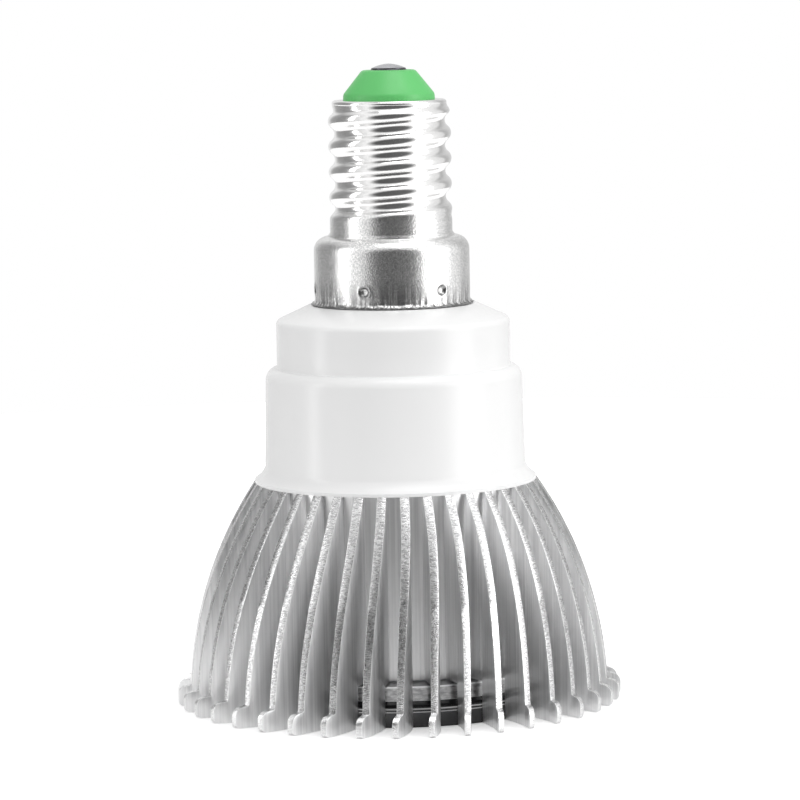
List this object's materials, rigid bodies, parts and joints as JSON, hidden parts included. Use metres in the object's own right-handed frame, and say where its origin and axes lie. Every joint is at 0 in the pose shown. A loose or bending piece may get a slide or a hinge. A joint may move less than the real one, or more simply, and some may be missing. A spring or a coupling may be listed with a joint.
{
  "type": "grow light bulb",
  "caption": "Grow light bulb with a small screw cap, a stepped white housing and a bell-shaped aluminium heat sink of leaning fins over a round light face.",
  "frame": {"origin": "centre of the light face, on the plane that the fins' feet and the clear cover lie in", "axes": "+Z along the bulb's axis from the light face to the screw cap; -Y is the side towards the picture's camera"},
  "size_m": [0.05, 0.05, 0.0713],
  "materials": {
    "turned_aluminium": "extruded and turned, bare",
    "white_housing": "glossy moulded",
    "plated_shell": "bright nickel plating",
    "green_insulator": "satin moulded",
    "contact_metal": "plain tinned",
    "silicone_pad": "matte",
    "board_metal": "white coat on bare metal",
    "red_chip": "clear resin in a white frame",
    "blue_chip": "clear resin in a white frame",
    "solder": "smooth",
    "screw_steel": "zinc plated",
    "clear_cover": "clear",
    "white_wire": "smooth sleeve",
    "red_wire": "smooth sleeve",
    "black_wire": "smooth sleeve",
    "circuit_board": "satin laminate",
    "ferrite": "matte",
    "bobbin_plastic": "matte",
    "winding_tape": "wrapped tape",
    "capacitor_sleeve": "shrunk sleeve",
    "film_case": "dipped",
    "resistor_coat": "matte coat",
    "chip_plastic": "matte moulded"
  },
  "bodies": {
    "root": {"heat_sink": "turned_aluminium", "housing": "white_housing", "screw_shell": "plated_shell", "cap_insulator": "green_insulator", "centre_contact": "contact_metal", "thermal_pad": "silicone_pad", "led_board": "board_metal", "red_leds": "red_chip", "blue_leds": "blue_chip", "solder_joints": "solder", "board_screws": "screw_steel", "housing_screws": "screw_steel", "front_cover": "clear_cover", "led_lead_positive": "red_wire", "led_lead_negative": "black_wire", "live_lead": "red_wire", "neutral_lead": "white_wire", "driver_board": "circuit_board", "transformer_core": "ferrite", "transformer_bobbin": "bobbin_plastic", "transformer_winding": "winding_tape", "transformer_pins": "contact_metal", "input_capacitor": "capacitor_sleeve", "output_capacitor": "capacitor_sleeve", "film_capacitor": "film_case", "fusible_resistor": "resistor_coat", "bridge_rectifier": "chip_plastic", "driver_chip": "chip_plastic", "output_diode": "chip_plastic", "chip_resistors": "chip_plastic"}
  },
  "joints": []
}
